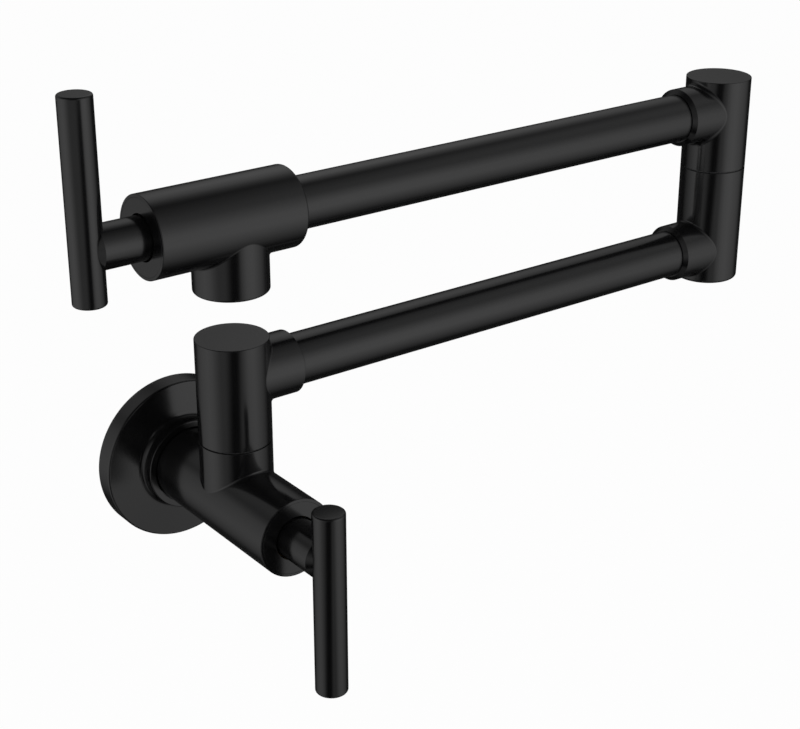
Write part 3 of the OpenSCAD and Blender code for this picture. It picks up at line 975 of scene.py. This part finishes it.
@dataclass(frozen=True)
class PipeThread:
    """The ridge of an outside pipe thread, wound along +Y by Geometry Nodes.

    Attributes:
        root_r: Radius at the foot of the ridge.
        crest_r: Radius at its top.
        pitch: How far it climbs in a turn.
        start: Where it starts.
        length: How far it runs.
        foot_share: Width of its foot, as a share of the pitch.
        crest_share: Width of its top, as a share of the pitch.
        runout_turns: Turns in which it rises and fades.
        least_rise: Share of its height that it starts and ends with.
        sink: How deep its foot lies in the core.
        turn_steps: Sections in a turn.
    """

    root_r: float = 9.3155 * MM
    crest_r: float = 10.4775 * MM
    pitch: float = 1.814 * MM
    start: float = 0.4 * MM
    length: float = 19.1 * MM
    foot_share: float = 0.92
    crest_share: float = 0.2
    runout_turns: float = 0.8
    least_rise: float = 0.05
    sink: float = 0.15 * MM
    turn_steps: int = 64

    def inputs(self, finish: bpy.types.Material) -> dict:
        """Returns the tree's inputs by name, each with its socket type and value."""
        turns = self.length / self.pitch
        return {
            "Steps per turn": ("NodeSocketInt", self.turn_steps),
            "Turns": ("NodeSocketFloat", turns),
            "Root radius": ("NodeSocketFloat", self.root_r),
            "Length": ("NodeSocketFloat", self.length),
            "Foot width": ("NodeSocketFloat", self.pitch * self.foot_share),
            "Crest width": ("NodeSocketFloat", self.pitch * self.crest_share),
            "Ridge height": ("NodeSocketFloat", self.crest_r - self.root_r + self.sink),
            "Ridge middle": ("NodeSocketVector", ((self.sink + self.root_r - self.crest_r) / 2, 0, 0)),
            "Rise per length": ("NodeSocketFloat", turns / self.runout_turns),
            "Least rise": ("NodeSocketFloat", self.least_rise),
            "Start": ("NodeSocketVector", (0, self.start, 0)),
            "Finish": ("NodeSocketMaterial", finish),
        }

    def tree(self, inputs: dict) -> bpy.types.NodeTree:
        """Builds the tree that winds the ridge.

        Args:
            inputs: The tree's inputs, as inputs() gives them.

        Returns:
            The tree.
        """
        tree = bpy.data.node_groups.new("pipe_thread", "GeometryNodeTree")
        for name, (kind, _) in inputs.items():
            tree.interface.new_socket(name, in_out="INPUT", socket_type=kind)
        tree.interface.new_socket("Geometry", in_out="OUTPUT", socket_type="NodeSocketGeometry")
        g = NodeGraph(tree)
        given = g.add("NodeGroupInput").outputs

        helix = g.feed(g.add("GeometryNodeCurveSpiral"), Resolution=given["Steps per turn"],
                       Rotations=given["Turns"], Start_Radius=given["Root radius"],
                       End_Radius=given["Root radius"], Height=given["Length"])
        upright = g.wired("GeometryNodeSetCurveNormal", helix.outputs["Curve"], mode="Z_UP")

        share = g.add("GeometryNodeSplineParameter").outputs["Factor"]
        left = g.wired("ShaderNodeMath", 1.0, share, operation="SUBTRACT").outputs["Value"]
        nearer = g.wired("ShaderNodeMath", share, left, operation="MINIMUM").outputs["Value"]
        climb = g.wired("ShaderNodeMath", nearer, given["Rise per length"], operation="MULTIPLY")
        rise = g.feed(g.add("ShaderNodeMapRange"), Value=climb.outputs["Value"], To_Min=given["Least rise"])

        ridge = g.feed(g.add("GeometryNodeCurvePrimitiveQuadrilateral", mode="TRAPEZOID"),
                       Bottom_Width=given["Foot width"], Top_Width=given["Crest width"],
                       Height=given["Ridge height"], Offset=0.0)
        outward = g.feed(g.add("GeometryNodeTransform"), Geometry=ridge.outputs["Curve"],
                         Rotation=(0, 0, QUARTER_TURN), Translation=given["Ridge middle"])

        wound = g.feed(g.add("GeometryNodeCurveToMesh"), Curve=upright.outputs["Curve"],
                       Profile_Curve=outward.outputs["Geometry"], Scale=rise.outputs["Result"],
                       Fill_Caps=True)
        laid = g.feed(g.add("GeometryNodeTransform"), Geometry=wound.outputs["Mesh"],
                      Rotation=(-QUARTER_TURN, 0, 0), Translation=given["Start"])
        real = g.wired("GeometryNodeRealizeInstances", laid.outputs["Geometry"])
        dressed = g.feed(g.add("GeometryNodeSetMaterial"), Geometry=real.outputs["Geometry"],
                         Material=given["Finish"])
        g.wired("NodeGroupOutput", dressed.outputs["Geometry"])
        return tree

    def build(self, finish: bpy.types.Material) -> bpy.types.Mesh:
        """Winds the ridge.

        Args:
            finish: Its material.

        Returns:
            The ridge as a plain mesh.
        """
        holder = placed("thread_holder", bpy.data.meshes.new("thread_holder"))
        inputs = self.inputs(finish)
        winder = holder.modifiers.new("winder", "NODES")
        winder.node_group = self.tree(inputs)
        for item in winder.node_group.interface.items_tree:
            if item.in_out == "INPUT":
                winder[item.identifier] = inputs[item.name][1]
        evaluated = holder.evaluated_get(bpy.context.evaluated_depsgraph_get())
        ridge = bpy.data.meshes.new_from_object(evaluated)
        holder.modifiers.remove(winder)
        bpy.data.objects.remove(holder)
        return ridge


@dataclass
class Assembly:
    """A group of pieces that is built and dressed together.

    Attributes:
        rack: Where the finishes hang.
    """

    rack: FinishRack

    def build(self) -> list:
        """Returns the pieces that the frame lacks; a group without any has an empty list."""
        return []

    def dress(self) -> list:
        """Gives the group's nodes their finishes and returns their names."""
        return []

    def finish_nodes(self, line: Lathe, *names: str, look: Finish | None = None) -> list:
        """Gives nodes the finish of their slot.

        Args:
            line: The line that they were turned about.
            *names: The nodes.
            look: A finish to use in place of the slot's own.

        Returns:
            The names.
        """
        slots = {part["node"]: Slot(part["material_slot"]) for part in frame["record"]["subparts"]}
        for name in names:
            mesh = frame["nodes"][name].data
            mesh.materials.clear()
            mesh.materials.append(self.rack.take(look or self.rack.BY_SLOT[slots[name]], line))
        return list(names)

    def blend(self, blend: HollowBlend, body: Body) -> bpy.types.Object:
        """Builds a blend in satin black.

        Args:
            blend: The blend.
            body: The body that it moves with.

        Returns:
            The finished ring.
        """
        ring = blend.build()
        ring.data.materials.append(self.rack.take(SatinBlack(), Lathe()))
        return settle(ring, body)


@dataclass
class WallPlate(Assembly):
    """The flange with its gasket and grip ring."""

    def dress(self) -> list:
        """Gives the flange, its gasket and its grip ring their finishes."""
        return self.finish_nodes(INLET_LINE, "wall_flange", "wall_gasket", "flange_grip_ring")


@dataclass
class Inlet(Assembly):
    """The brass nipple behind the flange, with its real thread.

    Attributes:
        thread: The ridge of the thread behind the wall plane.
        inner_end: Where the nipple ends inside the valve body.
        outer_end: Where it ends in the wall.
        neck_foot: Where the hexagon starts.
        neck_r: Radius of the end inside the valve body.
        hex_r: Distance from the middle to the hexagon's corners.
        hex_edge: How far the round end faces of the hexagon lie inside its flats.
        hex_slope: How steep the hexagon's chamfers are.
        bore_r: Radius of the bore.
        bore_edge: Chamfer of the bore's mouth.
        lead: Chamfer of the core's end.
        steps: Sections round the core, a multiple of twice its sides.
        sides: How many sides the hexagon has.
        crease_deg: Edges sharper than this stay sharp.
        weld: Corners of the ridge nearer than this become one.
    """

    thread: PipeThread = PipeThread()
    inner_end: float = -15 * MM
    outer_end: float = 20 * MM
    neck_foot: float = -4.2 * MM
    neck_r: float = 10.4775 * MM
    hex_r: float = 12.28 * MM
    hex_edge: float = 0.1 * MM
    hex_slope: float = 0.5
    bore_r: float = 6.5 * MM
    bore_edge: float = 0.5 * MM
    lead: float = 0.35 * MM
    steps: int = 144
    sides: int = 6
    crease_deg: float = 25.0
    weld: float = 0.001 * MM

    def section(self, turn: float) -> list:
        """Works out the nipple's outline on one side.

        Args:
            turn: Where it is round the middle line, in radians.

        Returns:
            Pairs of radius and place along +Y, once round the wall of the pipe.
        """
        side_turn = FULL_TURN / self.sides
        flat_r = self.hex_r * math.cos(side_turn / 2)
        hex_side = flat_r / math.cos(turn % side_turn - side_turn / 2)
        face_r = flat_r - self.hex_edge
        chamfer = (hex_side - face_r) * self.hex_slope
        root, neck, bore = self.thread.root_r, self.neck_r, self.bore_r
        return [
            (bore + self.bore_edge, self.inner_end), (neck, self.inner_end), (neck, self.neck_foot),
            (face_r, self.neck_foot), (hex_side, self.neck_foot + chamfer), (hex_side, -chamfer),
            (face_r, 0), (root, 0), (root, self.outer_end - self.lead),
            (root - self.lead, self.outer_end), (bore + self.bore_edge, self.outer_end),
            (bore, self.outer_end - self.bore_edge), (bore, self.inner_end + self.bore_edge),
        ]

    def build(self) -> list:
        """Returns the nipple: its core and hexagon with the wound ridge of the thread."""
        corners = []
        for i in range(self.steps):
            turn = FULL_TURN * i / self.steps
            corners += [(r * math.cos(turn), y, r * math.sin(turn)) for r, y in self.section(turn)]
        count = len(self.section(0))
        nipple = shell("inlet_nipple_threaded", corners, looped(self.steps, count), self.crease_deg)
        brass = self.rack.take(TurnedBrass(), INLET_LINE)
        nipple.data.materials.append(brass)
        ridge = self.thread.build(brass)
        form = bmesh.new()
        form.from_mesh(ridge)
        bmesh.ops.remove_doubles(form, verts=form.verts, dist=self.weld)
        bmesh.ops.recalc_face_normals(form, faces=form.faces)
        form.from_mesh(nipple.data)
        form.to_mesh(nipple.data)
        form.free()
        nipple.data.shade_smooth()
        nipple.data.set_sharp_from_angle(angle=math.radians(self.crease_deg))
        settle(nipple, Body.ROOT)
        return [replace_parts(nipple, "inlet_nipple")]


@dataclass
class WallValve(Assembly):
    """The body on the wall with its cap, its cartridge and the post.

    Attributes:
        post_r: Radius of the post.
        body_r: Radius of the body.
        hollow_r: Radius of the hollow under the post.
    """

    post_r: float = POST_R
    body_r: float = VALVE_R
    hollow_r: float = 1.0 * MM

    def post_line(self) -> Lathe:
        """Returns the line of the post."""
        return Lathe.along(Axis.Z, joint_place("wall_swivel"))

    def build(self) -> list:
        """Returns the blend between the post and the body."""
        ring = HollowBlend("post_blend", self.post_line().through, Axis.Z, 1, Axis.Y, self.post_r,
                           self.body_r, self.hollow_r)
        return [self.blend(ring, Body.ROOT)]

    def dress(self) -> list:
        """Gives the valve's and the post's nodes their finishes."""
        return (self.finish_nodes(INLET_LINE, "wall_valve_body", "wall_valve_cap", "wall_seat_seal",
                                  "wall_fixed_disc")
                # painted shade: the cartridge shows only in the dark gap round the hub, so its brass is darkened
                # to that gap's shade
                + self.finish_nodes(INLET_LINE, "wall_cartridge", look=ShadedBrass())
                + self.finish_nodes(self.post_line(), "post_spigot", "post_sealing_rings",
                                    "post_glide_washer"))


@dataclass
class Handle(Assembly):
    """A quarter-turn handle with its spindle, its turning disc and its screws.

    Attributes:
        side: Which valve it turns.
        axis: Direction of the line that it turns about.
    """

    side: Side = Side.WALL
    axis: Axis = Axis.Y

    def named(self, *endings: str) -> list:
        """Returns this side's names with the given endings."""
        return [f"{self.side.value}_{ending}" for ending in endings]

    def dress(self) -> list:
        """Gives the handle's nodes their finishes."""
        joint, bar = self.named("handle_turn", "handle_bar")
        line = Lathe.along(self.axis, joint_place(joint))
        bar_line = Lathe.along(Axis.Z, middle_of(bar))
        turned = self.named("turning_disc", "spindle_ring", "handle_hub", "bar_screw")
        return (self.finish_nodes(line, *turned)
                + self.finish_nodes(bar_line, *self.named("handle_bar", "grub_screw"))
                # painted shade: the spindle sits inside the hub, so its brass is darkened to the shade there
                + self.finish_nodes(line, *self.named("spindle"), look=ShadedBrass()))


@dataclass
class LowerArm(Assembly):
    """The lower arm from the post's upper half to the elbow's lower half.

    Attributes:
        post_r: Radius of the posts.
        collar_r: Radius of the collars.
        head_hollow_r: Radius of the hollow round the collar on the wall's side.
        elbow_hollow_r: Radius of the hollow round the collar at the elbow.
    """

    post_r: float = POST_R
    collar_r: float = COLLAR_R
    head_hollow_r: float = 1.6 * MM
    elbow_hollow_r: float = 1.0 * MM

    def arm_line(self) -> Lathe:
        """Returns the line of the tube."""
        return Lathe.along(Axis.X, middle_of("lower_tube"))

    def build(self) -> list:
        """Returns the blends round the two collars."""
        head_at = self.arm_line().through
        elbow_at = (joint_place("elbow_swivel").x, *head_at[1:])
        head = HollowBlend("lower_head_blend", head_at, Axis.X, 1, Axis.Z, self.collar_r, self.post_r,
                           self.head_hollow_r)
        elbow = HollowBlend("elbow_lower_blend", elbow_at, Axis.X, -1, Axis.Z, self.collar_r, self.post_r,
                            self.elbow_hollow_r)
        return [self.blend(head, Body.LOWER_ARM), self.blend(elbow, Body.LOWER_ARM)]

    def dress(self) -> list:
        """Gives the lower arm's nodes their finishes."""
        elbow_line = Lathe.along(Axis.Z, joint_place("elbow_swivel"))
        screw_line = Lathe.along(Axis.Y, middle_of("post_lock_screw"))
        return (self.finish_nodes(self.arm_line(), "lower_arm_head", "lower_tube", "elbow_lower_half")
                + self.finish_nodes(elbow_line, "elbow_spigot", "elbow_sealing_rings", "elbow_glide_washer")
                + self.finish_nodes(screw_line, "post_lock_screw"))


@dataclass
class UpperArm(Assembly):
    """The upper arm from the elbow's upper half to the end valve.

    Attributes:
        post_r: Radius of the elbow.
        collar_r: Radius of the collar.
        hollow_r: Radius of the hollow round the collar.
    """

    post_r: float = POST_R
    collar_r: float = COLLAR_R
    hollow_r: float = 2.0 * MM

    def build(self) -> list:
        """Returns the blend round the collar."""
        elbow_at = (joint_place("elbow_swivel").x, *upper_line().through[1:])
        ring = HollowBlend("elbow_upper_blend", elbow_at, Axis.X, -1, Axis.Z, self.collar_r, self.post_r,
                           self.hollow_r)
        return [self.blend(ring, Body.UPPER_ARM)]

    def dress(self) -> list:
        """Gives the upper arm's nodes their finishes."""
        screw_line = Lathe.along(Axis.Y, middle_of("elbow_lock_screw"))
        return (self.finish_nodes(upper_line(), "elbow_upper_half", "upper_tube")
                + self.finish_nodes(screw_line, "elbow_lock_screw"))


@dataclass
class EndValve(Assembly):
    """The end valve's body with its cap, its cartridge and the spout.

    Attributes:
        spout_at: Where the spout's line is along the body.
        body_r: Radius of the body.
        spout_r: Radius of the spout.
        hollow_r: Radius of the hollow round the spout.
    """

    spout_at: float = 0.8 * MM
    body_r: float = VALVE_R
    spout_r: float = 14.2 * MM
    hollow_r: float = 1.2 * MM

    def build(self) -> list:
        """Returns the blend round the spout."""
        spout_at = (self.spout_at, *upper_line().through[1:])
        ring = HollowBlend("spout_blend", spout_at, Axis.Z, -1, Axis.X, self.spout_r, self.body_r,
                           self.hollow_r)
        return [self.blend(ring, Body.UPPER_ARM)]

    def dress(self) -> list:
        """Gives the end valve's, the spout's and the aerator's nodes their finishes."""
        line = upper_line()
        spout_line = Lathe(Axis.Z, (self.spout_at, line.through[1], 0))
        return (self.finish_nodes(line, "end_valve_body", "end_valve_cap", "end_seat_seal",
                                  "end_fixed_disc")
                # painted shade: the cartridge shows only in the dark gap round the hub, so its brass is darkened
                # to that gap's shade
                + self.finish_nodes(line, "end_cartridge", look=ShadedBrass())
                + self.finish_nodes(spout_line, "aerator_washer", "aerator_housing", "aerator_insert"))


def write_sizes() -> None:
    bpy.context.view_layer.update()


def main() -> None:
    """Builds the camera, the studio and the tap's groups in order."""
    Camera().build()
    Studio().build()
    rack = FinishRack()
    groups = (
        WallPlate(rack),
        Inlet(rack),
        WallValve(rack),
        Handle(rack, Side.WALL, Axis.Y),
        LowerArm(rack),
        UpperArm(rack),
        EndValve(rack),
        Handle(rack, Side.END, Axis.X),
    )
    dressed = set()
    for group in groups:
        for piece in group.build():
            dressed.update(piece.get("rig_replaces", []))
            log.info("%s: built %s, %d faces", type(group).__name__, piece.name, len(piece.data.polygons))
        names = group.dress()
        dressed.update(names)
        log.info("%s: dressed %s", type(group).__name__, ", ".join(names) or "no node of the frame")
    bare = sorted(set(frame["nodes"]) - dressed)
    log.info("nodes without a finish: %s", ", ".join(bare) or "none")
    write_sizes()


if __name__ == "__main__":
    main()
